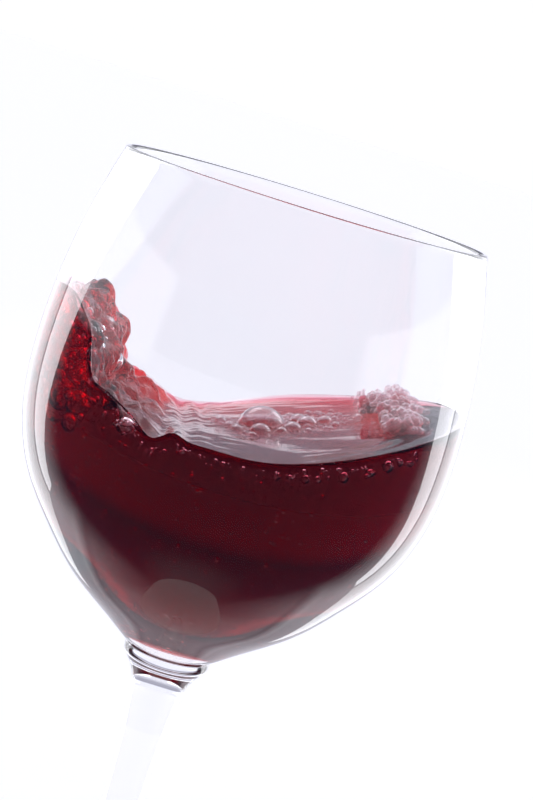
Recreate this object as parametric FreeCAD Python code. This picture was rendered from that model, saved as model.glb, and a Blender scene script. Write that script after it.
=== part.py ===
"""A stemmed glass of red wine: the glass, the wine at rest in its freshly poured wave, the froth
heaped at the right wall and the raft of bubbles floating in the middle.

Millimetres. The origin is the centre of the foot's resting plane, +Z runs up the stem, +X runs
to the side where the wave climbs gently and -X to the side where the poured wine splashes up.
"""

import FreeCAD
import Part
import math
import os

Vector = FreeCAD.Vector

# --- driving dimensions of the glass ---------------------------------------------------------
HEIGHT = 205.0            # foot to rim
RIM_RADIUS = 39.2         # outside, at the rim
BOWL_RADIUS = 45.8        # outside, at the widest point
BOWL_DEPTH = 100.7        # from the rim down to the neck
WIDEST_DEPTH = 44.7       # from the rim down to the widest point
WALL = 1.2                # at the rim and down the bowl's side
BASE_WALL = 2.6           # where the bowl's side runs into its thick bottom
BOTTOM_THICKNESS = 3.4    # on the axis, from the inside of the bowl to the neck's level
NECK_RADIUS = 9.3         # where the bowl ends on the collar
COLLAR_HEIGHT = 3.0       # the rounded bead under the bowl
COLLAR_BULGE = 0.3        # how far the bead stands out of its own ends
FLARE_HEIGHT = 7.8        # from the bead down to the top of the stem
STEM_TOP_RADIUS = 5.4
STEM_RADIUS = 3.8         # the slender middle of the stem
STEM_TAPER = 45.0         # length over which the stem slims down
FOOT_RADIUS = 38.5
FOOT_EDGE = 1.6           # thickness of the foot's rounded edge
FOOT_RISE = 4.6           # how much the foot's top climbs from its edge towards the stem
FOOT_FILLET = 15.0        # radius of the sweep from the stem into the foot
REST_INSET = 3.0          # from the foot's edge in to its resting ring
REST_WIDTH = 2.5          # width of the resting ring
FOOT_HOLLOW = 2.2         # height of the shallow dome under the foot

# --- driving dimensions of the wine ----------------------------------------------------------
TROUGH_DEPTH = 52.3       # from the rim down to the lowest stretch of the surface
RIGHT_RISE = 18.2         # how far the wave climbs above that at the right wall
BACKWASH = 4.6            # the gentle rise between the trough and the splash
SPLASH_FACE = 10.5        # the steep face of the splash above the backwash
SPLASH_CREST = 5.5        # the gentler climb from the top of the face to the left wall
CROSS_SWELL = 2.0         # how far front and back differ, one way left and the other way right
CROSS_TILT = 0.8          # how far the front stands higher in the middle
FRONT_RIDGE = 1.2         # height of the wrinkle that the splash pushes along the front wall

# --- driving dimensions of the froth and the bubbles -------------------------------------------
FROTH_RADIUS = 7.2        # of the largest lobe of the froth
FROTH_LOBES = 5
DOME_RADIUS = 5.3         # of the largest bubble of the raft
RAFT_BUBBLES = 5

# --- shape of the curves, as shares of the sizes above ------------------------------------------
# How far down from the widest point to the neck, and how much of the narrowing is done there.
BOWL_CURVE = ((0.24, 0.036), (0.45, 0.153), (0.63, 0.350), (0.775, 0.552), (0.90, 0.80))
INSIDE_STEPS = (0.24, 0.45, 0.63, 0.775, 0.875)
STEM_SLIMMING = 3.6       # how soon the stem slims down, as the decay over its taper

FULL_TURN = 360.0
AXIS = Vector(0, 0, 1)


def on_profile(radius, height):
    """A point of a turned profile, in the XZ plane."""
    return Vector(radius, 0, height)


def spline(points, first=None, last=None):
    """A smooth curve through points, with its end directions given where they matter."""
    curve = Part.BSplineCurve()
    tangents = [first or Vector()] + [Vector()] * (len(points) - 2) + [last or Vector()]
    flags = [first is not None] + [False] * (len(points) - 2) + [last is not None]
    curve.interpolate(Points=points, Tangents=tangents, TangentFlags=flags)
    return curve


def neck_height():
    return HEIGHT - BOWL_DEPTH


def bowl_outside():
    """The bowl's outer curve, from the neck up to the rim."""
    depth = BOWL_DEPTH - WIDEST_DEPTH
    widest = HEIGHT - WIDEST_DEPTH
    points = [on_profile(NECK_RADIUS, neck_height())]
    for down, narrowing in reversed(BOWL_CURVE):
        radius = BOWL_RADIUS - narrowing * (BOWL_RADIUS - NECK_RADIUS)
        points.append(on_profile(radius, widest - down * depth))
    points.append(on_profile(BOWL_RADIUS, widest))
    for up in (0.35, 0.7, 1.0):
        radius = BOWL_RADIUS - up ** 2 * (BOWL_RADIUS - RIM_RADIUS)
        points.append(on_profile(radius, widest + up * (WIDEST_DEPTH - WALL / 2)))
    return spline(points)


def bowl_inside():
    """The bowl's inner curve, from the axis up to the rim: the outer curve set in by the wall."""
    outside = bowl_outside()
    bottom = neck_height() + BOTTOM_THICKNESS
    points = [on_profile(0, bottom)]
    depth = BOWL_DEPTH - WIDEST_DEPTH
    widest = HEIGHT - WIDEST_DEPTH

    def inset(height, wall):
        line = Part.Line(on_profile(0, height), on_profile(1, height))
        meets = [Vector(p.X, p.Y, p.Z) for p in outside.intersect(line)]
        foot = max(meets, key=lambda p: p.x)
        along = outside.tangent(outside.parameter(foot))[0]
        inward = Vector(-abs(along.z), 0, along.x * (1 if along.z > 0 else -1))
        return foot + inward.normalize() * wall

    for down in reversed(INSIDE_STEPS):
        points.append(inset(widest - down * depth, WALL + (BASE_WALL - WALL) * down ** 5))
    points.append(on_profile(BOWL_RADIUS - WALL, widest))
    for up in (0.35, 0.7):
        points.append(inset(widest + up * (WIDEST_DEPTH - WALL / 2), WALL))
    rim = outside.EndPoint
    points.append(on_profile(rim.x - WALL, rim.z))
    return spline(points, first=Vector(1, 0, 0))


def collar_and_stem():
    """The bead under the bowl and the stem, from the neck down to the start of the foot's sweep."""
    neck = neck_height()
    bead_low = neck - COLLAR_HEIGHT
    bead_end = NECK_RADIUS - 3 * COLLAR_BULGE
    top_end = NECK_RADIUS - COLLAR_BULGE
    bulge = on_profile(NECK_RADIUS + COLLAR_BULGE / 4, neck - COLLAR_HEIGHT * 0.45)
    bead = Part.Arc(on_profile(top_end, neck), bulge, on_profile(bead_end, bead_low))
    lip = Part.LineSegment(on_profile(NECK_RADIUS, neck), on_profile(top_end, neck))

    stem_top = bead_low - FLARE_HEIGHT
    points = [on_profile(bead_end, bead_low)]
    for down in (0.28, 0.6):
        radius = STEM_TOP_RADIUS + (bead_end - STEM_TOP_RADIUS) * (1 - down) ** 2.1
        points.append(on_profile(radius, bead_low - down * FLARE_HEIGHT))
    slimmed = math.exp(-STEM_SLIMMING)
    for down in (0.0, 0.15, 0.33, 0.6, 1.0):
        left_over = (math.exp(-STEM_SLIMMING * down) - slimmed) / (1 - slimmed)
        radius = STEM_RADIUS + (STEM_TOP_RADIUS - STEM_RADIUS) * left_over
        points.append(on_profile(radius, stem_top - down * STEM_TAPER))
    return [lip, bead, spline(points, last=Vector(0, 0, -1))]


def foot_lines(stem_low):
    """The sweep into the foot, its top, rounded edge, resting ring and the dome underneath."""
    run = FOOT_RADIUS - STEM_RADIUS
    slope = math.atan2(FOOT_RISE, run)
    edge = on_profile(FOOT_RADIUS - FOOT_EDGE / 2, FOOT_EDGE)
    # The sweep touches the stem and the sloping top of the foot.
    reach = FOOT_FILLET * math.tan((math.pi / 2 - slope) / 2)
    corner = on_profile(STEM_RADIUS, FOOT_EDGE + (edge.x - STEM_RADIUS) * math.tan(slope))
    on_stem = corner + Vector(0, 0, reach)
    on_top = corner + Vector(math.cos(slope), 0, -math.sin(slope)) * reach
    centre = on_stem + Vector(FOOT_FILLET, 0, 0)
    half_way = math.pi + (math.pi / 2 - slope) / 2
    sweep_middle = centre + Vector(math.cos(half_way), 0, math.sin(half_way)) * FOOT_FILLET

    ring_outer = FOOT_RADIUS - REST_INSET
    ring_inner = ring_outer - REST_WIDTH
    low_edge = on_profile(FOOT_RADIUS - FOOT_EDGE / 2, FOOT_EDGE * 0.1)
    return [
        Part.LineSegment(stem_low, on_stem),
        Part.Arc(on_stem, sweep_middle, on_top),
        Part.LineSegment(on_top, edge),
        Part.Arc(edge, on_profile(FOOT_RADIUS, FOOT_EDGE * 0.55), low_edge),
        Part.LineSegment(low_edge, on_profile(ring_outer, 0)),
        Part.LineSegment(on_profile(ring_outer, 0), on_profile(ring_inner, 0)),
        Part.Arc(on_profile(ring_inner, 0), on_profile(ring_inner * 0.55, FOOT_HOLLOW * 0.72),
                 on_profile(0, FOOT_HOLLOW)),
    ]


def glass():
    """One piece of blown and pulled glass: bowl, collar, stem and foot."""
    outside = bowl_outside()
    inside = bowl_inside()
    rim_top = on_profile(outside.EndPoint.x - WALL / 2, HEIGHT)
    rim = Part.Arc(outside.EndPoint, rim_top, inside.EndPoint)
    stem = collar_and_stem()
    foot = foot_lines(stem[-1].EndPoint)
    axis = Part.LineSegment(foot[-1].EndPoint, inside.StartPoint)
    edges = [curve.toShape() for curve in [outside, rim, inside, axis] + stem + foot]
    profile = Part.Face(Part.Wire(Part.__sortEdges__(edges)))
    return profile.revolve(Vector(), AXIS, FULL_TURN)


def inside_of_bowl():
    """Everything the bowl can hold, level with the rim."""
    inside = bowl_inside()
    top = on_profile(0, inside.EndPoint.z)
    edges = [inside.toShape(), Part.LineSegment(inside.EndPoint, top).toShape(),
             Part.LineSegment(top, inside.StartPoint).toShape()]
    return Part.Face(Part.Wire(Part.__sortEdges__(edges))).revolve(Vector(), AXIS, FULL_TURN)


def fill_radius():
    """The bowl's inner radius near the wine's level."""
    return BOWL_RADIUS - WALL


def bell(distance, width):
    return math.exp(-(distance / width) ** 2)


def step(distance, width):
    return 0.5 * (1 + math.tanh(distance / width))


def wave_height(x, y):
    """Height of the wine's surface above the foot's resting plane."""
    radius = fill_radius()
    across, deep = x / radius, y / radius
    trough = -0.315
    right = max(0.0, (across - trough) / (1 - trough))
    left = min(1.0, max(0.0, (trough - across) / -trough))
    height = HEIGHT - TROUGH_DEPTH + RIGHT_RISE * right ** 1.45
    height += BACKWASH * left * left * (3 - 2 * left)
    # The steep face of the splash bulges to the right in the middle of the bowl.
    face = -0.695 + 0.055 * bell(deep - 0.05, 0.34)
    height += SPLASH_FACE * step(face - across, 0.035) * (1 - 0.2 * step(deep - 0.5, 0.2))
    height += SPLASH_CREST * step(face - 0.10 - across, 0.06)
    # Front and back swing opposite ways, as in a sloshing bowl.
    height -= deep * (CROSS_TILT - CROSS_SWELL * math.tanh(across / 0.2))
    near_front = step(-deep - 0.55, 0.15)
    height += FRONT_RIDGE * near_front * (bell(across + 0.25, 0.05) - bell(across + 0.34, 0.06))
    return height


def space_above_wine():
    """The space over the wave, wider than the bowl and higher than the rim."""
    half = BOWL_RADIUS + WALL
    columns, rows = 91, 31
    grid = []
    for i in range(columns):
        x = -half + 2 * half * i / (columns - 1)
        line = []
        for j in range(rows):
            y = -half + 2 * half * j / (rows - 1)
            line.append(Vector(x, y, wave_height(x, y)))
        grid.append(line)
    surface = Part.BSplineSurface()
    surface.interpolate(grid)
    return surface.toShape().extrude(Vector(0, 0, TROUGH_DEPTH + BOWL_DEPTH))


def wine(bowl, above):
    """The wine fills the bowl out to the glass and up to the frozen wave."""
    return bowl.cut(above)


def froth(bowl, above):
    """Froth heaped on the wave beside the right wall: lobes that run into each other."""
    lobes = []
    for k in range(FROTH_LOBES):
        place = k / (FROTH_LOBES - 1)
        turn = math.radians(-16 + 50 * place)
        reach = fill_radius() - 1.65 * FROTH_RADIUS + 0.9 * math.cos(9 * place)
        x, y = reach * math.cos(turn), reach * math.sin(turn)
        radius = FROTH_RADIUS * (0.62 + 0.38 * math.sin(math.pi * (0.10 + 0.78 * place)))
        lobes.append(Part.makeSphere(radius, Vector(x, y, wave_height(x, y) + 0.1 * radius)))
    heap = lobes[0].fuse(lobes[1:])
    return heap.common(above).common(bowl)


def bubble_raft(bowl, above):
    """The raft floating in the middle: one large bubble and a trail of smaller ones."""
    radius = fill_radius()
    x, y = 0.115 * radius, 0.06 * radius
    bubbles = []
    size = DOME_RADIUS
    for k in range(RAFT_BUBBLES + 1):
        centre = Vector(x, y, wave_height(x, y) - 0.25 * size)
        bubbles.append(Part.makeSphere(size, centre))
        following = DOME_RADIUS * (0.62 - 0.05 * k)
        turn = math.radians(-20 + 38 * k)
        x += 0.72 * (size + following) * math.cos(turn)
        y += 0.72 * (size + following) * math.sin(turn)
        size = following
    return bubbles[0].fuse(bubbles[1:]).common(above).common(bowl)


def main():
    os.makedirs("parts", exist_ok=True)
    bowl = inside_of_bowl()
    above = space_above_wine()
    pieces = {
        "glass": glass(),
        "wine": wine(bowl, above),
        "froth": froth(bowl, above),
        "bubble_raft": bubble_raft(bowl, above),
    }
    for node, shape in pieces.items():
        shape.exportStep("parts/" + node + ".step")
        print(node, "solids", len(shape.Solids), "valid", shape.isValid(),
              "volume cm3 %.2f" % (shape.Volume / 1000))


main()
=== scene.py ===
import math
import random

import bpy
import numpy as np
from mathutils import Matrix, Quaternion, Vector, noise


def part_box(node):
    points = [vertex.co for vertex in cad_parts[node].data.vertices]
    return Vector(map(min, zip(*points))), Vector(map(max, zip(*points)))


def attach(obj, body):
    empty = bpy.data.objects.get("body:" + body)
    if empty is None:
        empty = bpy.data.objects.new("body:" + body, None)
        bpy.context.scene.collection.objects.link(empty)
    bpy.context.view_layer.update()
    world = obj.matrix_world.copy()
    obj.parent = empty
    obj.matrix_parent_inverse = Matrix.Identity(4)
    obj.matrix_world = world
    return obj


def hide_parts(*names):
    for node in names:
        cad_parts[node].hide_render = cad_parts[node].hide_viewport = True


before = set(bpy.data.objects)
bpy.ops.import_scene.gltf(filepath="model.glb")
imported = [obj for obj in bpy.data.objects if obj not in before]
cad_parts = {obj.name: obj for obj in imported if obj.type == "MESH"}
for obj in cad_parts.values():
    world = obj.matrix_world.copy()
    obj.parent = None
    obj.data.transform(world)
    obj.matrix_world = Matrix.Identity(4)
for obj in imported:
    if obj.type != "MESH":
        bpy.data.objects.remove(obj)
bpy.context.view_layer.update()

# A stemmed glass of red wine, caught while the wine still swings from being poured.
# Shapes are worked out in millimetres and turned to metres when a mesh is made. +X is the side
# where the wave climbs gently, -X the splash, -Y the front, +Z up; z is 0 under the foot.


# --- the glass ---------------------------------------------------------------------------------
# The real piece is one blown and pulled glass: a thin bowl on a thick bottom, a rounded bead, a
# slender stem and a flat foot. Its outline is turned round the axis, and inside the bowl one row of
# the mesh follows the wine's edge.
MM = 0.001
glass_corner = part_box("glass")[1] / MM
HEIGHT = glass_corner.z
BOWL_RADIUS = glass_corner.x
RIM_RADIUS = 39.2
BOWL_DEPTH = 100.7
WIDEST_DEPTH = 44.7
WALL = 1.2
BASE_WALL = 2.6
BOTTOM_THICKNESS = 3.4
NECK_RADIUS = 9.3
COLLAR_HEIGHT = 3.0
COLLAR_BULGE = 0.3
FLARE_HEIGHT = 7.8
STEM_TOP_RADIUS = 5.4
STEM_RADIUS = 3.8
STEM_TAPER = 45.0
STEM_SLIMMING = 3.6
FOOT_RADIUS = 38.5
FOOT_EDGE = 1.6
FOOT_RISE = 4.6
FOOT_FILLET = 15.0
REST_INSET = 3.0
REST_WIDTH = 2.5
FOOT_HOLLOW = 2.2
BOWL_CURVE = ((0.24, 0.036), (0.45, 0.153), (0.63, 0.350), (0.775, 0.552), (0.90, 0.80))
INSIDE_STEPS = (0.24, 0.45, 0.63, 0.775, 0.875)
NECK = HEIGHT - BOWL_DEPTH
WIDEST = HEIGHT - WIDEST_DEPTH


def lengths_along(outline):
    """How far along an outline each of its points lies."""
    return np.concatenate([[0], np.cumsum(np.hypot(*np.diff(outline, axis=0).T))])


def directions_along(outline):
    """The outline's direction at each of its points, of length one."""
    along = np.gradient(outline, axis=0)
    return along / np.hypot(*along.T)[:, None]


def ring_of(radius, height, turn):
    """Points round the axis; radius and height are one number or one for each angle."""
    return zip(radius * np.cos(turn), radius * np.sin(turn), np.broadcast_to(height, turn.shape))


def smooth_through(points, count, first=None):
    """A smooth curve through points, evenly sampled: a cubic spline over the chord length."""
    points = np.array(points, float)
    chord = np.hypot(*np.diff(points, axis=0).T)
    along = np.concatenate([[0], np.cumsum(chord)])
    n = len(points)
    matrix = np.zeros((n, n))
    right = np.zeros((n, 2))
    matrix[0, 0], matrix[-1, -1] = 1, 1
    slopes = np.diff(points, axis=0) / chord[:, None]
    if first is not None:
        matrix[0, :2] = (2 * chord[0], chord[0])
        right[0] = 6 * (slopes[0] - np.array(first))
    for i in range(1, n - 1):
        matrix[i, i - 1:i + 2] = (chord[i - 1], 2 * (chord[i - 1] + chord[i]), chord[i])
        right[i] = 6 * (slopes[i] - slopes[i - 1])
    bend = np.linalg.solve(matrix, right)
    at = np.linspace(0, along[-1], count)
    k = np.clip(np.searchsorted(along, at, side="right") - 1, 0, n - 2)
    h, a, b = chord[k][:, None], (along[k + 1] - at)[:, None], (at - along[k])[:, None]
    return ((bend[k] * a ** 3 + bend[k + 1] * b ** 3) / (6 * h)
            + (points[k] / h - bend[k] * h / 6) * a + (points[k + 1] / h - bend[k + 1] * h / 6) * b)


def arc_through(start, middle, end, count):
    """Points along the circle through three points, without the first one."""
    a, b, c = (np.array(p, float) for p in (start, middle, end))
    d = 2 * (a[0] * (b[1] - c[1]) + b[0] * (c[1] - a[1]) + c[0] * (a[1] - b[1]))
    sq = [p @ p for p in (a, b, c)]
    centre = np.array([
        (sq[0] * (b[1] - c[1]) + sq[1] * (c[1] - a[1]) + sq[2] * (a[1] - b[1])) / d,
        (sq[0] * (c[0] - b[0]) + sq[1] * (a[0] - c[0]) + sq[2] * (b[0] - a[0])) / d])
    radius = np.hypot(*(a - centre))
    turn = [math.atan2(*(p - centre)[::-1]) for p in (a, b, c)]
    middle_turn = (turn[1] - turn[0] + math.pi) % (2 * math.pi) - math.pi
    sweep = (turn[2] - turn[0]) % (2 * math.pi)
    if middle_turn < 0:
        sweep -= 2 * math.pi
    angles = turn[0] + sweep * np.linspace(0, 1, count + 1)[1:]
    return centre + radius * np.stack([np.cos(angles), np.sin(angles)], axis=1)


def bowl_outside(count):
    """The bowl's outer outline as (radius, height), from the neck up to the rim."""
    points = [(NECK_RADIUS, NECK)]
    for down, narrowing in reversed(BOWL_CURVE):
        points.append((BOWL_RADIUS - narrowing * (BOWL_RADIUS - NECK_RADIUS),
                       WIDEST - down * (BOWL_DEPTH - WIDEST_DEPTH)))
    points.append((BOWL_RADIUS, WIDEST))
    for up in (0.35, 0.7, 1.0):
        points.append((BOWL_RADIUS - up ** 2 * (BOWL_RADIUS - RIM_RADIUS),
                       WIDEST + up * (WIDEST_DEPTH - WALL / 2)))
    return smooth_through(points, count)


def bowl_inside(count):
    """The bowl's inner outline from the axis up to the rim: the outer one set in by the wall."""
    outside = bowl_outside(2000)
    along = directions_along(outside)

    def inset(height, wall):
        i = np.abs(outside[:, 1] - height).argmin()
        return outside[i] + np.array([-along[i, 1], along[i, 0]]) * wall

    points = [(0, NECK + BOTTOM_THICKNESS)]
    for down in reversed(INSIDE_STEPS):
        points.append(inset(WIDEST - down * (BOWL_DEPTH - WIDEST_DEPTH),
                            WALL + (BASE_WALL - WALL) * down ** 5))
    points.append((BOWL_RADIUS - WALL, WIDEST))
    for up in (0.35, 0.7):
        points.append(inset(WIDEST + up * (WIDEST_DEPTH - WALL / 2), WALL))
    points.append(outside[-1] - np.array([WALL, 0]))
    return smooth_through(points, count, first=(1, 0))


def bead_and_stem():
    """The outline from the neck down the bead and the slimming stem."""
    bead_low = NECK - COLLAR_HEIGHT
    bead_end = NECK_RADIUS - 3 * COLLAR_BULGE
    bead = arc_through((NECK_RADIUS - COLLAR_BULGE, NECK),
                       (NECK_RADIUS + COLLAR_BULGE / 4, NECK - COLLAR_HEIGHT * 0.45),
                       (bead_end, bead_low), 14)
    stem = [(bead_end, bead_low)]
    for down in (0.28, 0.6):
        radius = STEM_TOP_RADIUS + (bead_end - STEM_TOP_RADIUS) * (1 - down) ** 2.1
        stem.append((radius, bead_low - down * FLARE_HEIGHT))
    slimmed = math.exp(-STEM_SLIMMING)
    for down in (0.0, 0.15, 0.33, 0.6, 1.0):
        left_over = (math.exp(-STEM_SLIMMING * down) - slimmed) / (1 - slimmed)
        stem.append((STEM_RADIUS + (STEM_TOP_RADIUS - STEM_RADIUS) * left_over,
                     bead_low - FLARE_HEIGHT - down * STEM_TAPER))
    return np.concatenate([bead, smooth_through(stem, 60)[1:]])


def foot(stem_end):
    """The outline from the end of the stem's taper down, over the foot and under it."""
    slope = math.atan2(FOOT_RISE, FOOT_RADIUS - STEM_RADIUS)
    edge = np.array([FOOT_RADIUS - FOOT_EDGE / 2, FOOT_EDGE])
    reach = FOOT_FILLET * math.tan((math.pi / 2 - slope) / 2)
    corner = np.array([STEM_RADIUS, FOOT_EDGE + (edge[0] - STEM_RADIUS) * math.tan(slope)])
    on_stem = corner + np.array([0, reach])
    on_top = corner + reach * np.array([math.cos(slope), -math.sin(slope)])
    half_way = math.pi + (math.pi / 2 - slope) / 2
    middle = (on_stem + np.array([FOOT_FILLET, 0])
              + FOOT_FILLET * np.array([math.cos(half_way), math.sin(half_way)]))
    low_edge = (FOOT_RADIUS - FOOT_EDGE / 2, FOOT_EDGE * 0.1)
    ring_outer = FOOT_RADIUS - REST_INSET
    ring_inner = ring_outer - REST_WIDTH
    straight = np.linspace(stem_end, on_stem, 9)[1:]
    sweep = arc_through(on_stem, middle, on_top, 24)
    top = np.linspace(on_top, edge, 9)[1:]
    rounded = arc_through(edge, (FOOT_RADIUS, FOOT_EDGE * 0.55), low_edge, 10)
    rest = np.array([(ring_outer, 0), (ring_outer - REST_WIDTH / 2, 0), (ring_inner, 0)])
    dome = arc_through((ring_inner, 0), (ring_inner * 0.55, FOOT_HOLLOW * 0.72), (0, FOOT_HOLLOW), 24)
    return np.concatenate([straight, sweep, top, rounded, rest, dome])


# The wine's large wave is told here, because the glass is wet up to it. Places along the surface
# are shares of the bowl's inner radius, from -1 at the left wall to 1 at the right.
TROUGH_DEPTH = 52.3
RIGHT_RISE = 18.2
BACKWASH = 4.6
SPLASH_FACE = 10.5
SPLASH_CREST = 5.5
CROSS_SWELL = 2.0
CROSS_TILT = 0.8
FRONT_RIDGE = 1.2
TROUGH_PLACE = -0.315
RIGHT_CURVE = 1.45
SPLASH_PLACE = -0.695
SPLASH_SWEEP = 0.055
MENISCUS = 0.7
FILL_RADIUS = BOWL_RADIUS - WALL
INSIDE = bowl_inside(600)
GLASS_IOR = 1.52
WINE_IOR = 1.34


def inner_radius(height):
    """The bowl's inner radius at a height."""
    return np.interp(height, INSIDE[:, 1], INSIDE[:, 0])


def bell(distance, width):
    """One at no distance, falling away to zero on both sides."""
    return np.exp(-(distance / width) ** 2)


def step(distance, width):
    """A soft step from zero to one as the distance turns positive."""
    return 0.5 * (1 + np.tanh(distance / width))


def wave_height(x, y):
    """The large form of the surface, as the solid has it."""
    across, deep = x / FILL_RADIUS, y / FILL_RADIUS
    right = np.clip((across - TROUGH_PLACE) / (1 - TROUGH_PLACE), 0, None)
    left = np.clip((TROUGH_PLACE - across) / -TROUGH_PLACE, 0, 1)
    height = HEIGHT - TROUGH_DEPTH + RIGHT_RISE * right ** RIGHT_CURVE
    height = height + BACKWASH * left * left * (3 - 2 * left)
    face = SPLASH_PLACE + SPLASH_SWEEP * bell(deep - 0.05, 0.34)
    height = height + SPLASH_FACE * step(face - across, 0.035) * (1 - 0.2 * step(deep - 0.5, 0.2))
    height = height + SPLASH_CREST * step(face - 0.10 - across, 0.06)
    height = height - deep * (CROSS_TILT - CROSS_SWELL * np.tanh(across / 0.2))
    near_front = step(-deep - 0.55, 0.15)
    return height + FRONT_RIDGE * near_front * (bell(across + 0.25, 0.05) - bell(across + 0.34, 0.06))


def mesh_of(name, points, faces):
    """A smooth-shaded mesh object from points in millimetres."""
    mesh = bpy.data.meshes.new(name)
    mesh.from_pydata((np.asarray(points) * MM).tolist(), [], faces)
    mesh.shade_smooth()
    piece = bpy.data.objects.new(name, mesh)
    bpy.context.collection.objects.link(piece)
    return piece


def linear_colour(hex_colour):
    """An sRGB hex colour as the linear colour that a shader takes."""
    parts = [int(hex_colour[i:i + 2], 16) / 255 for i in (0, 2, 4)]
    linear = [p / 12.92 if p <= 0.04045 else ((p + 0.055) / 1.055) ** 2.4 for p in parts]
    return (*linear, 1.0)


def add_node(tree, kind, settings=None, inputs=None):
    """Adds a node, sets its properties, and sets or links its inputs."""
    node = tree.nodes.new(kind)
    for key, value in (settings or {}).items():
        setattr(node, key, value)
    for key, value in (inputs or {}).items():
        if isinstance(value, bpy.types.NodeSocket):
            tree.links.new(value, node.inputs[key])
        else:
            node.inputs[key].default_value = value
    return node


def new_material(name):
    """An empty material and its node tree."""
    material = bpy.data.materials.new(name)
    material.use_nodes = True
    material.node_tree.nodes.clear()
    return material, material.node_tree


def blown_soda_glass():
    """Fire-polished soda-lime glass: colourless, IOR 1.52, with the faint long waves of blown glass."""
    material, tree = new_material("blown_soda_glass")
    place = add_node(tree, "ShaderNodeTexCoord")
    waves = add_node(tree, "ShaderNodeTexNoise", None,
                     {"Vector": place.outputs["Object"], "Scale": 45.0, "Detail": 1.0})
    bump = add_node(tree, "ShaderNodeBump", None,
                    {"Height": waves.outputs[0], "Strength": 0.05, "Distance": 1.0 * MM})
    shader = add_node(tree, "ShaderNodeBsdfPrincipled", None,
                      {"Base Color": linear_colour("FFFFFF"), "Roughness": 0.0, "IOR": GLASS_IOR,
                       "Transmission Weight": 1.0, "Normal": bump.outputs[0]})
    add_node(tree, "ShaderNodeOutputMaterial", None, {"Surface": shader.outputs[0]})
    return material


def wetted_glass():
    """The same glass where wine lies on it. The wine's own side bends the light there, from wine
    straight to glass, so this face bends none and adds no second mirror."""
    material, tree = new_material("wetted_soda_glass")
    shader = add_node(tree, "ShaderNodeBsdfGlass", None,
                      {"Color": linear_colour("FFFFFF"), "Roughness": 0.0, "IOR": 1.0})
    add_node(tree, "ShaderNodeOutputMaterial", None, {"Surface": shader.outputs[0]})
    return material


def contact_line(turn):
    """The height at which the wine's edge stands on the bowl's inner wall, at each angle."""
    edge = np.full(len(turn), FILL_RADIUS)
    for _ in range(30):
        top = wave_height(edge * np.cos(turn), edge * np.sin(turn)) + MENISCUS
        edge = inner_radius(top)
    return top


def glass_mesh(segments, wet_rows, dry_rows):
    """Points and faces of the glass, and which faces the wine wets. Inside, the rows bend so that
    one of them follows the wine's edge."""
    turn = np.linspace(0, 2 * math.pi, segments, endpoint=False)
    length = lengths_along(INSIDE)
    contact = np.interp(contact_line(turn), INSIDE[:, 1], length)
    rows = [contact * k / wet_rows for k in range(1, wet_rows + 1)]
    rows += [contact + (length[-1] - contact) * k / dry_rows for k in range(1, dry_rows + 1)]
    points = [(0, 0, INSIDE[0, 1])]
    for at in rows:
        points.extend(ring_of(np.interp(at, length, INSIDE[:, 0]),
                              np.interp(at, length, INSIDE[:, 1]), turn))
    outside = bowl_outside(110)[::-1]
    rim = arc_through(INSIDE[-1], (outside[0][0] - WALL / 2, HEIGHT), outside[0], 8)[:-1]
    stem = bead_and_stem()
    for radius, height in np.concatenate([rim, outside, stem, foot(stem[-1])[:-1]]):
        points.extend(ring_of(radius, height, turn))
    points.append((0, 0, FOOT_HOLLOW))
    faces = []
    wet = []
    row_count = (len(points) - 2) // segments
    for j in range(segments):
        k = (j + 1) % segments
        faces.append((0, 1 + j, 1 + k))
        wet.append(1)
        for row in range(row_count - 1):
            a, b = 1 + row * segments, 1 + (row + 1) * segments
            faces.append((a + j, b + j, b + k, a + k))
            wet.append(int(row < wet_rows - 1))
        last = 1 + (row_count - 1) * segments
        faces.append((last + j, len(points) - 1, last + k))
        wet.append(0)
    return points, faces, wet


GLASS_SEGMENTS = 256
WET_ROWS = 70
DRY_ROWS = 40
points, faces, wet = glass_mesh(GLASS_SEGMENTS, WET_ROWS, DRY_ROWS)
glass = mesh_of("blown_glass", points, faces)
glass.data.materials.append(blown_soda_glass())
glass.data.materials.append(wetted_glass())
glass.data.polygons.foreach_set("material_index", wet)
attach(glass, "root")
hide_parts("glass")


# --- the wine ----------------------------------------------------------------------------------
# Red wine fills the bowl out to the glass. Its top is a swinging surface: a gentle climb to the
# right, a hollow left of the middle and a steep splash that rolls up against the left wall.
INTO_WALL = 0.06
OFF_WALL = 0.05


def smooth_noise(x, y, length, width, offset):
    """Smooth noise from about -0.5 to 0.5 whose swells are so many mm long in x and wide in y."""
    flat = zip(np.ravel(x / length), np.ravel(y / width))
    return np.array([noise.noise((a, b, offset)) for a, b in flat]).reshape(np.shape(x))


def ripples(x, y):
    """The finer swells, wrinkles and rills on the surface."""
    x, y = np.asarray(x, float), np.asarray(y, float)
    across, deep = x / FILL_RADIUS, y / FILL_RADIUS
    calm = step(across + 0.45, 0.06)
    swell = 0.55 * smooth_noise(x + 0.5 * y, y, 19.0, 11.0, 0.3)
    swell = swell + (0.07 + 0.13 * step(-across - 0.02, 0.12)) * smooth_noise(x, y, 7.0, 3.4, 5.1)
    swell = swell + (0.03 + 0.15 * step(-across - 0.10, 0.12)) * smooth_noise(x, y, 3.2, 2.4, 9.7)
    # Wrinkles that follow the front wall on the right, and ridges down the hollow on the left.
    shore = 0.22 * np.sin(1.35 * (np.hypot(x, y) - 30)) * step(np.hypot(across, deep) - 0.72, 0.06)
    shore = shore * step(across - 0.35, 0.08) * step(-deep - 0.02, 0.15)
    ridges = 0.42 * np.sin(1.3 * x + 0.12 * y) * bell(across + 0.27, 0.13)
    return calm * swell + shore + ridges


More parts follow.
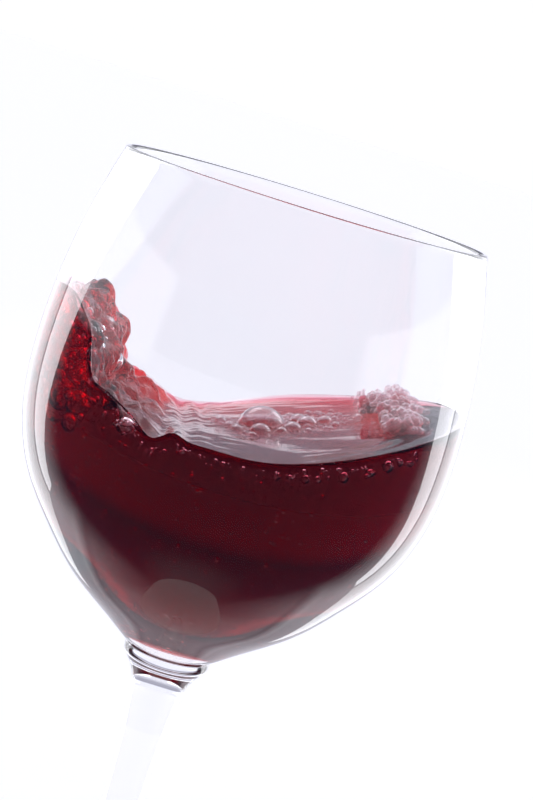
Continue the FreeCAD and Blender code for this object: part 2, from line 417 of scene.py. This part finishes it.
def splash_relief(point, roughness):
    """How far the churned wine of the splash stands out or in at a point."""
    large = noise.noise(Vector(point) * 0.15)
    middle = noise.noise(Vector(point) * 0.34 + Vector((7, 3, 1)))
    fine = noise.noise(Vector(point) * 0.8 + Vector((2, 9, 4)))
    return roughness * (3.6 * large + 1.5 * middle + 0.22 * fine)


def wine_mesh(segments, rings, side_rows):
    """Closed mesh of the wine: its bottom and side in the glass and its surface on top."""
    turn = np.linspace(0, 2 * math.pi, segments, endpoint=False)
    points = [(0, 0, NECK + BOTTOM_THICKNESS - INTO_WALL)]
    # Rows of the side run up the bowl's inner outline to the contact line.
    length = lengths_along(INSIDE)
    along = directions_along(INSIDE)
    wall = INSIDE + np.stack([along[:, 1], -along[:, 0]], axis=1) * INTO_WALL
    reach = np.interp(contact_line(turn), INSIDE[:, 1], length)
    for row in range(1, side_rows + 1):
        at = reach * row / side_rows
        points.extend(ring_of(np.interp(at, length, wall[:, 0]), np.interp(at, length, wall[:, 1]),
                              turn))
    contact = np.array(points[-segments:])
    surface = []
    for ring in range(1, rings):
        share = 1 - ring / rings
        x, y = contact[:, 0] * share, contact[:, 1] * share
        gap = np.hypot(contact[:, 0], contact[:, 1]) * (1 - share)
        lift = MENISCUS * np.exp(-gap / 0.9)
        fade = 1 - np.exp(-gap / 1.2)
        surface.append(np.stack([x, y, wave_height(x, y) + ripples(x, y) * fade + lift], axis=1))
    points.extend(map(tuple, churned(np.array(surface)).reshape(-1, 3)))
    points.append((0, 0, float(wave_height(0.0, 0.0) + ripples(0.0, 0.0))))

    faces = []
    for j in range(segments):
        k = (j + 1) % segments
        faces.append((0, 1 + k, 1 + j))
        for row in range(side_rows + rings - 2):
            a, b = 1 + row * segments, 1 + (row + 1) * segments
            faces.append((a + j, a + k, b + k, b + j))
        last = 1 + (side_rows + rings - 2) * segments
        faces.append((last + j, last + k, len(points) - 1))
    return points, faces


# The domes that float in the middle dent the wine: x, y, radius.
RAFT_DOMES = (
    (5.1, 2.7, 5.2), (5.0, -4.2, 2.3), (11.4, -0.6, 1.9), (14.2, 5.4, 2.4), (9.2, -3.6, 1.3),
    (0.2, -3.0, 1.4), (17.8, 8.2, 1.8), (12.4, 9.2, 2.0), (-1.8, 1.0, 1.1), (20.0, 4.5, 1.2),
)
# Where the splash rolls over: x, y, height over the trough's level, radius.
LUMPS = (
    (-32.2, -2.0, 12.6, 4.4), (-36.0, -9.0, 15.5, 2.6), (-33.5, -14.5, 12.5, 2.2),
    (-37.5, 4.0, 17.0, 2.8), (-31.0, -10.5, 7.0, 2.0), (-30.2, -19.0, 4.5, 2.4),
    (-34.6, 9.0, 14.0, 2.6), (-27.2, -4.0, 4.4, 2.0), (-26.0, -14.0, 2.2, 1.8),
    (-39.5, -5.5, 17.5, 2.0), (-24.8, 5.0, 1.4, 2.0), (-27.0, -26.0, 2.0, 2.2),
)
# The surface is churned to the left of this share of the bowl's inner radius.
CHURNED_PLACE = -0.40


def churned(surface):
    """The surface with the splash's blobs pushed out and its churned relief added."""
    shape = surface.shape
    flat = surface.reshape(-1, 3).copy()
    level = HEIGHT - TROUGH_DEPTH
    for x, y, z, radius in LUMPS:
        centre = np.array([x, y, level + z])
        away = flat - centre
        distance = np.linalg.norm(away, axis=1)
        inside = distance < radius
        blend = np.clip((radius - distance[inside]) / (0.5 * radius), 0, 1)[:, None]
        pushed = centre + away[inside] / distance[inside][:, None] * radius
        flat[inside] += (pushed - flat[inside]) * (0.25 + 0.75 * blend)
    # A floating dome dents the surface under it and draws up a fine collar round its edge.
    for x, y, radius in RAFT_DOMES:
        near = np.hypot(flat[:, 0] - x, flat[:, 1] - y) / radius
        flat[:, 2] -= 0.30 * radius * np.clip(1 - near ** 2, 0, None)
        flat[:, 2] += 0.10 * radius * np.exp(-((near - 1.0) / 0.16) ** 2)
    rough = step(CHURNED_PLACE - flat[:, 0] / FILL_RADIUS, 0.07)
    gap = inner_radius(flat[:, 2]) - np.hypot(flat[:, 0], flat[:, 1])
    rough = rough * np.clip(gap / 2.0, 0, 1)
    grid = flat.reshape(shape)
    down = np.gradient(grid, axis=0)
    around = np.roll(grid, -1, axis=1) - np.roll(grid, 1, axis=1)
    normal = np.cross(around, down)
    normal /= np.linalg.norm(normal, axis=2)[:, :, None] + 1e-9
    normal *= np.sign(normal[:, :, 2:3].mean())
    normal = normal.reshape(-1, 3)
    for i in np.nonzero(rough > 0.02)[0]:
        flat[i] += normal[i] * splash_relief(flat[i], rough[i])
    radius = np.hypot(flat[:, 0], flat[:, 1])
    limit = inner_radius(flat[:, 2]) - OFF_WALL
    over = radius > limit
    flat[over, :2] *= (limit[over] / radius[over])[:, None]
    return flat.reshape(shape)


def young_red_wine():
    """Clear red wine, IOR 1.34. It takes up green and blue within a few millimetres and red only
    over a whole glass: bright red where it is thin, near black where it is deep."""
    material, tree = new_material("young_red_wine")
    place = add_node(tree, "ShaderNodeTexCoord")
    skin = add_node(tree, "ShaderNodeTexNoise", None,
                    {"Vector": place.outputs["Object"], "Scale": 260.0, "Detail": 2.0})
    bump = add_node(tree, "ShaderNodeBump", None,
                    {"Height": skin.outputs[0], "Strength": 0.04, "Distance": 0.3 * MM})
    # Its open surface meets air; its side meets glass, which bends light the other way.
    side = add_node(tree, "ShaderNodeAttribute", {"attribute_name": "against_glass"})
    bending = add_node(tree, "ShaderNodeMapRange", None,
                       {"Value": side.outputs["Fac"], "To Min": WINE_IOR,
                        "To Max": WINE_IOR / GLASS_IOR})
    shader = add_node(tree, "ShaderNodeBsdfGlass", None,
                      {"Color": linear_colour("FFFAFA"), "Roughness": 0.0,
                       "IOR": bending.outputs[0], "Normal": bump.outputs[0]})
    # What is left of white light after a millimetre sets the absorption.
    depth = add_node(tree, "ShaderNodeVolumeAbsorption", None,
                     {"Color": linear_colour("F9007E"), "Density": 700.0})
    add_node(tree, "ShaderNodeOutputMaterial", None,
             {"Surface": shader.outputs[0], "Volume": depth.outputs[0]})
    return material


WINE_SEGMENTS = 480
WINE_RINGS = 130
SIDE_ROWS = 44
wine = mesh_of("poured_wine", *wine_mesh(WINE_SEGMENTS, WINE_RINGS, SIDE_ROWS))
against = wine.data.attributes.new("against_glass", "FLOAT", "FACE")
rows = SIDE_ROWS + WINE_RINGS
against.data.foreach_set("value", [float(k % rows < SIDE_ROWS) for k in range(len(against.data))])
wine.data.materials.append(young_red_wine())
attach(wine, "root")
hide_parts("wine")


# --- bubbles -----------------------------------------------------------------------------------
# Pouring beats air into the wine. A bubble that floats is a thin film of wine round air; one that
# is sunk is air in wine. Both are round, so a node tree sets a sphere on each of many points.
def bubble_tree():
    """Node tree: a sphere on each point, its radius the point's own size times a random share.
    Only the wide ones, which the eye can follow round, are finely faced."""
    tree = bpy.data.node_groups.new("bubbles_on_points", "GeometryNodeTree")
    face = tree.interface
    face.new_socket("Geometry", in_out="INPUT", socket_type="NodeSocketGeometry")
    for name, kind, value in (("Smallest share", "NodeSocketFloat", 0.8),
                              ("Largest share", "NodeSocketFloat", 1.2),
                              ("Squash", "NodeSocketFloat", 1.0),
                              ("Wide from", "NodeSocketFloat", 1.6),
                              ("Seed", "NodeSocketInt", 1)):
        face.new_socket(name, in_out="INPUT", socket_type=kind).default_value = value
    face.new_socket("Material", in_out="INPUT", socket_type="NodeSocketMaterial")
    face.new_socket("Geometry", in_out="OUTPUT", socket_type="NodeSocketGeometry")
    given = add_node(tree, "NodeGroupInput").outputs
    size = add_node(tree, "GeometryNodeInputNamedAttribute", None, {"Name": "size"})
    share = add_node(tree, "FunctionNodeRandomValue", None,
                     {2: given["Smallest share"], 3: given["Largest share"], "Seed": given["Seed"]})
    radius = add_node(tree, "ShaderNodeMath", {"operation": "MULTIPLY"},
                      {0: size.outputs["Attribute"], 1: share.outputs[1]})
    height = add_node(tree, "ShaderNodeMath", {"operation": "MULTIPLY"},
                      {0: radius.outputs[0], 1: given["Squash"]})
    scale = add_node(tree, "ShaderNodeCombineXYZ", None,
                     {"X": radius.outputs[0], "Y": radius.outputs[0], "Z": height.outputs[0]})
    wide = add_node(tree, "FunctionNodeCompare", {"data_type": "FLOAT", "operation": "GREATER_THAN"},
                    {0: size.outputs["Attribute"], 1: given["Wide from"]})
    small = add_node(tree, "FunctionNodeBooleanMath", {"operation": "NOT"}, {0: wide.outputs[0]})
    joined = add_node(tree, "GeometryNodeJoinGeometry")
    for chosen, detail in ((small, 2), (wide, 4)):
        sphere = add_node(tree, "GeometryNodeMeshIcoSphere", None,
                          {"Radius": MM, "Subdivisions": detail})
        smooth = add_node(tree, "GeometryNodeSetShadeSmooth", None,
                          {"Geometry": sphere.outputs["Mesh"]})
        placed = add_node(tree, "GeometryNodeInstanceOnPoints", None,
                          {"Points": given["Geometry"], "Selection": chosen.outputs[0],
                           "Instance": smooth.outputs[0], "Scale": scale.outputs[0]})
        tree.links.new(placed.outputs[0], joined.inputs[0])
    real = add_node(tree, "GeometryNodeRealizeInstances", None, {"Geometry": joined.outputs[0]})
    skinned = add_node(tree, "GeometryNodeSetMaterial", None,
                       {"Geometry": real.outputs[0], "Material": given["Material"]})
    add_node(tree, "NodeGroupOutput", None, {"Geometry": skinned.outputs[0]})
    return tree


BUBBLES = bubble_tree()


def bubble_mesh(name, spots, material, spread=(0.8, 1.2), squash=1.0, seed=1):
    """A plain mesh of bubbles from spots, each (x, y, z, radius) in millimetres."""
    mesh = bpy.data.meshes.new(name + "_points")
    mesh.from_pydata([(x * MM, y * MM, z * MM) for x, y, z, _ in spots], [], [])
    sizes = mesh.attributes.new("size", "FLOAT", "POINT")
    sizes.data.foreach_set("value", [spot[3] for spot in spots])
    seeded = bpy.data.objects.new(name + "_seeded", mesh)
    bpy.context.collection.objects.link(seeded)
    modifier = seeded.modifiers.new("bubbles", "NODES")
    modifier.node_group = BUBBLES
    wanted = {"Smallest share": spread[0], "Largest share": spread[1], "Squash": squash,
              "Seed": seed, "Material": material}
    for item in BUBBLES.interface.items_tree:
        if item.in_out == "INPUT" and item.name in wanted:
            modifier[item.identifier] = wanted[item.name]
    evaluated = seeded.evaluated_get(bpy.context.evaluated_depsgraph_get())
    plain = bpy.data.meshes.new_from_object(evaluated)
    plain.name = name
    seeded.modifiers.remove(modifier)
    bpy.data.objects.remove(seeded)
    piece = bpy.data.objects.new(name, plain)
    bpy.context.collection.objects.link(piece)
    return piece


def wine_film(name, tint, glow, share):
    """A film of wine a few micrometres thick: it lets most light through unbent, mirrors more and
    more toward its rim on either face, and scatters a share of light where films are wet and many."""
    material, tree = new_material(name)
    clear = add_node(tree, "ShaderNodeBsdfTransparent", None, {"Color": linear_colour(tint)})
    mirror = add_node(tree, "ShaderNodeBsdfGlossy", None,
                      {"Color": linear_colour("FFFFFF"), "Roughness": 0.02})
    slant = add_node(tree, "ShaderNodeLayerWeight", None, {"Blend": 0.5})
    rim = add_node(tree, "ShaderNodeMath", {"operation": "POWER"},
                   {0: slant.outputs["Facing"], 1: 2.4})
    mirrored = add_node(tree, "ShaderNodeMath", {"operation": "MULTIPLY_ADD", "use_clamp": True},
                        {0: rim.outputs[0], 1: 0.95, 2: 0.07})
    both = add_node(tree, "ShaderNodeMixShader", None,
                    {0: mirrored.outputs[0], 1: clear.outputs[0], 2: mirror.outputs[0]})
    soft = add_node(tree, "ShaderNodeBsdfTranslucent", None, {"Color": linear_colour(glow)})
    skin = add_node(tree, "ShaderNodeMixShader", None,
                    {0: share, 1: both.outputs[0], 2: soft.outputs[0]})
    add_node(tree, "ShaderNodeOutputMaterial", None, {"Surface": skin.outputs[0]})
    return material


def air_in_wine():
    """A smooth ball of air sunk in wine: light bends away from it, so its rim mirrors."""
    material, tree = new_material("air_in_wine")
    shader = add_node(tree, "ShaderNodeBsdfGlass", None,
                      {"Color": linear_colour("FFFFFF"), "Roughness": 0.0, "IOR": 1.0 / WINE_IOR})
    add_node(tree, "ShaderNodeOutputMaterial", None, {"Surface": shader.outputs[0]})
    return material


def surface_height(x, y):
    """The wine's surface with its finer swells."""
    return float(wave_height(x, y) + ripples(x, y))


def on_wall(x, height, inset, side=-1):
    """The point inside the bowl's wall at this x and height, at the front or at the back."""
    radius = inner_radius(height) - inset
    return x, side * math.sqrt(max(0.0, radius ** 2 - x ** 2)), height


# The raft of floating bubbles: one wide dome, its followers and a drift of small ones.
RAFT_BUBBLES = 230
random_raft = random.Random(11)
raft = []
for x, y, radius in RAFT_DOMES:
    raft.append((x, y, surface_height(x, y) - 0.12 * radius, radius))
while len(raft) < RAFT_BUBBLES:
    along, off = random_raft.uniform(-9, 19), random_raft.gauss(0, 3.6)
    x, y = 6 + along * 0.86 - off * 0.5, 4 + along * 0.5 + off * 0.86
    radius = 0.32 + 1.2 * random_raft.random() ** 3
    if all(math.hypot(x - other[0], y - other[1]) > 0.9 * (radius + other[3]) for other in raft):
        raft.append((x, y, surface_height(x, y) + 0.1 * radius, radius))
clear_film = wine_film("wine_film", tint="FDF4F6", glow="FFF0F4", share=0.05)
floating = bubble_mesh("floating_bubbles", raft, clear_film, spread=(0.97, 1.03), squash=0.9, seed=3)
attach(floating, "root")
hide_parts("bubble_raft")


# --- the froth at the right --------------------------------------------------------------------
# Where the wave turns back at the right wall it heaps froth. The real heap is bubbles of wine, wet
# and red inside and nearly clear outside, so films of both kinds are scattered over five lobes.
FROTH_RADIUS = 7.2
FROTH_LOBES = 5
random_froth = random.Random(5)


def froth_centres():
    """The lobes of the heap as (x, y, z, radius), set as the solid's are."""
    lobes = []
    for k in range(FROTH_LOBES):
        place = k / (FROTH_LOBES - 1)
        turn = math.radians(-16 + 50 * place)
        reach = FILL_RADIUS - 1.65 * FROTH_RADIUS + 0.9 * math.cos(9 * place)
        x, y = reach * math.cos(turn), reach * math.sin(turn)
        radius = FROTH_RADIUS * (0.62 + 0.38 * math.sin(math.pi * (0.10 + 0.78 * place)))
        lobes.append((x, y, float(wave_height(x, y)) + 0.1 * radius, radius))
    return lobes


def heaped(count, nearest, farthest, smallest, spread, power):
    """Bubbles scattered between two shares of each lobe's radius, above the wine."""
    spots = []
    for x, y, z, radius in froth_centres():
        for _ in range(count):
            direction = Vector([random_froth.gauss(0, 1) for _ in range(3)]).normalized()
            direction.z = abs(direction.z)
            size = smallest + spread * random_froth.random() ** power
            share = random_froth.uniform(nearest, farthest)
            spot = Vector((x, y, z - 0.4)) + direction * max(0.0, radius * share - size)
            if spot.z > float(wave_height(spot.x, spot.y)) - 0.3:
                spots.append((*spot, size))
    return spots


wet_film = wine_film("wet_wine_film", tint="F29FB2", glow="E83F60", share=0.07)
core_spots = heaped(20, nearest=0.3, farthest=0.92, smallest=0.9, spread=1.4, power=1.3)
froth_core = bubble_mesh("froth_core", core_spots, wet_film, spread=(0.9, 1.1), seed=2)
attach(froth_core, "root")
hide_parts("froth")
skin_spots = heaped(42, nearest=0.85, farthest=1.02, smallest=0.35, spread=0.9, power=2.0)
froth_skin = bubble_mesh("froth_bubbles", skin_spots, clear_film, spread=(0.9, 1.1), seed=4)
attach(froth_skin, "root")
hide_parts("froth")


# --- bubbles at the left crest -----------------------------------------------------------------
# The splash leaves tiny bubbles of clear wine film along its crest, where it wets the glass, and
# two wide ones in its curl.
CREST_BUBBLES = 120
CREST_RADIUS = 43.0
random_crest = random.Random(8)
crest = [(-33.4, -3.0, HEIGHT - TROUGH_DEPTH + 13.2, 4.1), (-37.4, -9.0, HEIGHT - 35.0, 2.1)]
for _ in range(CREST_BUBBLES):
    turn = math.pi + math.radians(random_crest.gauss(8, 22))
    rise = random_crest.uniform(-2.5, 1.6)
    size = 0.30 + 0.65 * random_crest.random() ** 2
    x, y = CREST_RADIUS * math.cos(turn), CREST_RADIUS * math.sin(turn)
    height = float(wave_height(x, y)) + rise
    reach = inner_radius(height) - size * 0.9 - 1.6 * random_crest.random() ** 2
    crest.append((reach * math.cos(turn), reach * math.sin(turn), height, size))
crest_bubbles = bubble_mesh("crest_bubbles", crest, clear_film, spread=(0.9, 1.1), seed=5)
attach(crest_bubbles, "root")


# --- bubbles sunk in the wine ------------------------------------------------------------------
# Air beaten under by the pour: a string of bubbles along the front wall just below the surface,
# a few wide ones among them, a haze of specks that thins out to the right, and the air that
# churns in the splash.
STRING_BUBBLES = 130
SPECK_TRIES = 1100
CHURN_TRIES = 2500
SPECKS_FROM = 110
SPECKS_UP_TO = 156
random_sunk = random.Random(21)
# The wide bubbles on the front wall: x, depth below the wine's edge, radius.
WALL_BUBBLES = (
    (-20.4, 2.4, 1.7), (-24.9, 3.4, 0.6), (-22.4, 3.2, 0.75), (9.8, 1.9, 0.85), (12.3, 2.1, 0.6),
    (15.2, 2.6, 0.95), (17.5, 2.9, 0.85), (22.1, 3.0, 1.25), (26.8, 3.0, 0.9), (29.7, 2.4, 1.4),
    (32.0, 2.2, 0.8), (34.1, 3.0, 0.7), (-2.0, 1.3, 0.5), (3.4, 1.4, 0.6),
)
sunk = []
for x, drop, radius in WALL_BUBBLES:
    level = float(wave_height(x, -math.sqrt(44 ** 2 - x * x)))
    sunk.append((*on_wall(x, level - drop, radius * 0.92), radius))
for _ in range(STRING_BUBBLES):
    x = random_sunk.uniform(-24, 37)
    level = float(wave_height(x, -math.sqrt(43.5 ** 2 - x * x)))
    size = 0.16 + 0.5 * random_sunk.random() ** 4
    drop = 1.0 + 2.6 * random_sunk.random() ** 1.6
    sunk.append((*on_wall(x, level - drop, size + 0.1), size))
for _ in range(SPECK_TRIES):
    turn = random_sunk.uniform(-math.pi, 0)
    share = 1 - 0.35 * random_sunk.random() ** 2
    height = SPECKS_FROM + (SPECKS_UP_TO - SPECKS_FROM) * random_sunk.random() ** 0.9
    reach = (inner_radius(height) - 1.2) * share
    x, y = reach * math.cos(turn), reach * math.sin(turn)
    if height > float(wave_height(x, y)) - 1.5 or random_sunk.random() < 0.35 + x / 70:
        continue
    sunk.append((x, y, height, 0.18 + 0.36 * random_sunk.random() ** 2))
churned_air = []
for _ in range(CHURN_TRIES):
    size = 0.5 + 3.0 * random_sunk.random() ** 2.2
    x, y = random_sunk.uniform(-44, -20), random_sunk.uniform(-34, 24)
    top = float(wave_height(x, y)) - size - 0.8
    height = top - 13 * random_sunk.random() ** 1.3
    if math.hypot(x, y) > inner_radius(height) - size - 0.3 or x > -28 - 0.5 * (154 - height):
        continue
    if all(math.dist((x, y, height), other[:3]) > size + other[3] + 0.1 for other in churned_air):
        churned_air.append((x, y, height, size))
sunk += churned_air
# One bubble clings near the bottom of the bowl.
sunk.append((-0.2, -3.0, NECK + BOTTOM_THICKNESS + 1.6, 0.9))
sunk_bubbles = bubble_mesh("sunk_bubbles", sunk, air_in_wine(), spread=(0.95, 1.05), seed=6)
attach(sunk_bubbles, "root")


# --- floor, light and camera -------------------------------------------------------------------
# A pale table of opal acrylic with no edge in sight, lit a little from below as is usual for
# drinks. A white backdrop stands behind and to the sides, and the room in front is dim.
FLOOR_HALF = 25000.0
FLOOR_DROP = -0.3


def studio_table():
    """Opal acrylic: matt, and even in light because it glows a little."""
    material, tree = new_material("pale_studio_table")
    shader = add_node(tree, "ShaderNodeBsdfPrincipled", None,
                      {"Base Color": linear_colour("E9E9EA"), "Roughness": 0.9,
                       "Emission Color": linear_colour("FAFBFF"), "Emission Strength": 0.42})
    add_node(tree, "ShaderNodeOutputMaterial", None, {"Surface": shader.outputs[0]})
    return material


corners = [(side_x * FLOOR_HALF, side_y * FLOOR_HALF, FLOOR_DROP)
           for side_x, side_y in ((-1, -1), (1, -1), (1, 1), (-1, 1))]
floor = mesh_of("studio_table", corners, [(0, 1, 2, 3)])
floor.data.materials.append(studio_table())
# Polished glass and wine mirror the room rather than the table's plain glare.
floor.visible_glossy = False

world = bpy.data.worlds.new("studio_room")
bpy.context.scene.world = world
world.use_nodes = True
room = world.node_tree
room.nodes.clear()


def room_math(operation, *values):
    """The result of one sum in the room's light."""
    node = add_node(room, "ShaderNodeMath", {"operation": operation})
    for k, value in enumerate(values):
        if isinstance(value, bpy.types.NodeSocket):
            room.links.new(value, node.inputs[k])
        else:
            node.inputs[k].default_value = value
    return node.outputs[0]


def between(value, low, high, soft):
    """One where a value lies from low to high, falling to zero over a soft edge."""
    rise = add_node(room, "ShaderNodeMapRange", None,
                    {"Value": value, "From Min": low - soft, "From Max": low + soft})
    fall = add_node(room, "ShaderNodeMapRange", None,
                    {"Value": value, "From Min": high - soft, "From Max": high + soft,
                     "To Min": 1.0, "To Max": 0.0})
    return room_math("MULTIPLY", rise.outputs[0], fall.outputs[0])


# A direction into the room is told by two angles: how far round it is from straight behind the
# glass, on either side, and its elevation. Each light surface is a stretch of both.
toward = add_node(room, "ShaderNodeTexCoord")
parts = add_node(room, "ShaderNodeSeparateXYZ", None, {"Vector": toward.outputs["Generated"]})
sideways = room_math("ABSOLUTE", parts.outputs["X"])
from_back = room_math("DEGREES", room_math("ARCTAN2", sideways, parts.outputs["Y"]))
elevation = room_math("DEGREES", room_math("ARCSINE", parts.outputs["Z"]))
wings = between(from_back, 34.0, 62.0, 8.0)
low = between(elevation, -48.0, 8.6, 2.4)
deep = room_math("MULTIPLY", between(elevation, -100.0, -48.0, 5.0), 0.8)
backdrop = room_math("MULTIPLY", between(from_back, -20.0, 60.0, 12.0), room_math("ADD", low, deep))
side = room_math("MULTIPLY", between(from_back, 60.0, 125.0, 3.0), between(elevation, -2.6, 11.5, 0.5))
below = room_math("MULTIPLY", between(elevation, -120.0, -78.0, 7.0), 0.2)
screens = room_math("MAXIMUM", room_math("MAXIMUM", backdrop, below), side)
lit = room_math("ADD", screens, room_math("MULTIPLY", room_math("MULTIPLY", wings, low), 0.5))
overhead = room_math("MULTIPLY_ADD", between(elevation, 22.0, 200.0, 6.0), 0.56, 0.44)
above_screens = room_math("MULTIPLY", overhead, between(elevation, 9.0, 200.0, 2.0))
ceiling = room_math("MULTIPLY", above_screens,
                    room_math("MULTIPLY_ADD", between(from_back, -20.0, 95.0, 10.0), 0.75, 0.2))
# Two high windows give wet things their sparks.
windows = room_math("MULTIPLY", between(elevation, 30.0, 50.0, 2.0), between(from_back, 14.0, 58.0, 2.0))
brightness = room_math("ADD", room_math("MAXIMUM", lit, ceiling), room_math("MULTIPLY", windows, 1.3))
# What is left dark has the faint violet of an unlit room.
shade = add_node(room, "ShaderNodeBackground", None, {"Color": linear_colour("5A5382"), "Strength": 0.62})
white = add_node(room, "ShaderNodeBackground", None,
                 {"Color": linear_colour("F8FAFF"), "Strength": brightness})
whole = add_node(room, "ShaderNodeAddShader", None, {0: shade.outputs[0], 1: white.outputs[0]})
add_node(room, "ShaderNodeOutputWorld", None, {"Surface": whole.outputs[0]})


# Two softboxes stand on each side, with a narrow gap between them. Only what mirrors them shows them.
SOFTBOX_FAR = 1500.0
SOFTBOX_MIDDLE = 140.0
SOFTBOX_UP = 34.0


def toward_room(from_back_angle, up_angle, hand):
    """A softbox's corner at these angles from the glass, on the left (-1) or the right (1)."""
    back, up = math.radians(from_back_angle), math.radians(up_angle)
    return (hand * SOFTBOX_FAR * math.sin(back) * math.cos(up),
            SOFTBOX_FAR * math.cos(back) * math.cos(up),
            SOFTBOX_FAR * math.sin(up) + SOFTBOX_MIDDLE)


def softbox_cloth(name, strength):
    """White diffuser cloth with an even light behind it."""
    material, tree = new_material(name)
    shader = add_node(tree, "ShaderNodeEmission", None,
                      {"Color": linear_colour("F8F9FF"), "Strength": strength})
    add_node(tree, "ShaderNodeOutputMaterial", None, {"Surface": shader.outputs[0]})
    return material


outer_cloth = softbox_cloth("outer_softbox_cloth", 5.0)
inner_cloth = softbox_cloth("inner_softbox_cloth", 2.8)
# A softbox's near and far upright edges, each by its angle at its lower and at its upper end.
for hand, word, edge_low, edge_high in ((-1, "left", 53.0, 86.0), (1, "right", 51.0, 80.0)):
    for cloth, place, near_low, near_high, far_low, far_high in (
            (outer_cloth, "outer", 45.5, 51.0, edge_low, edge_high),
            (inner_cloth, "inner", 18.0, 18.0, 43.5, 49.0)):
        panel = mesh_of("softbox_" + word + "_" + place, [
            toward_room(near_low, -SOFTBOX_UP, hand), toward_room(far_low, -SOFTBOX_UP, hand),
            toward_room(far_high, SOFTBOX_UP, hand), toward_room(near_high, SOFTBOX_UP, hand)],
            [(0, 1, 2, 3)])
        panel.data.materials.append(cloth)
        panel.visible_camera = False
        panel.visible_transmission = False
        panel.visible_diffuse = False
        panel.visible_shadow = False

# The camera looks at the bowl from a little above its rim's height, rolled so that the glass leans.
camera_data = bpy.data.cameras.new("camera")
camera_data.lens = 93.6
camera_data.sensor_width = 36.0
camera_data.clip_start = 0.01
camera_data.clip_end = 100.0
camera_data.dof.use_dof = False
camera = bpy.data.objects.new("camera", camera_data)
bpy.context.collection.objects.link(camera)
camera.location = (0.0, -0.4337, 0.22342)
aim = Vector((0.00421, 0.0, 0.16226)) - camera.location
camera.rotation_mode = "QUATERNION"
roll = Quaternion((0, 0, 1), math.radians(17.3))
camera.rotation_quaternion = aim.to_track_quat("-Z", "Y") @ roll
bpy.context.scene.camera = camera
# Light crosses many films in froth.
bpy.context.scene.cycles.max_bounces = 24
bpy.context.scene.cycles.transmission_bounces = 24
bpy.context.scene.cycles.transparent_max_bounces = 40
bpy.context.scene.view_settings.view_transform = "Standard"
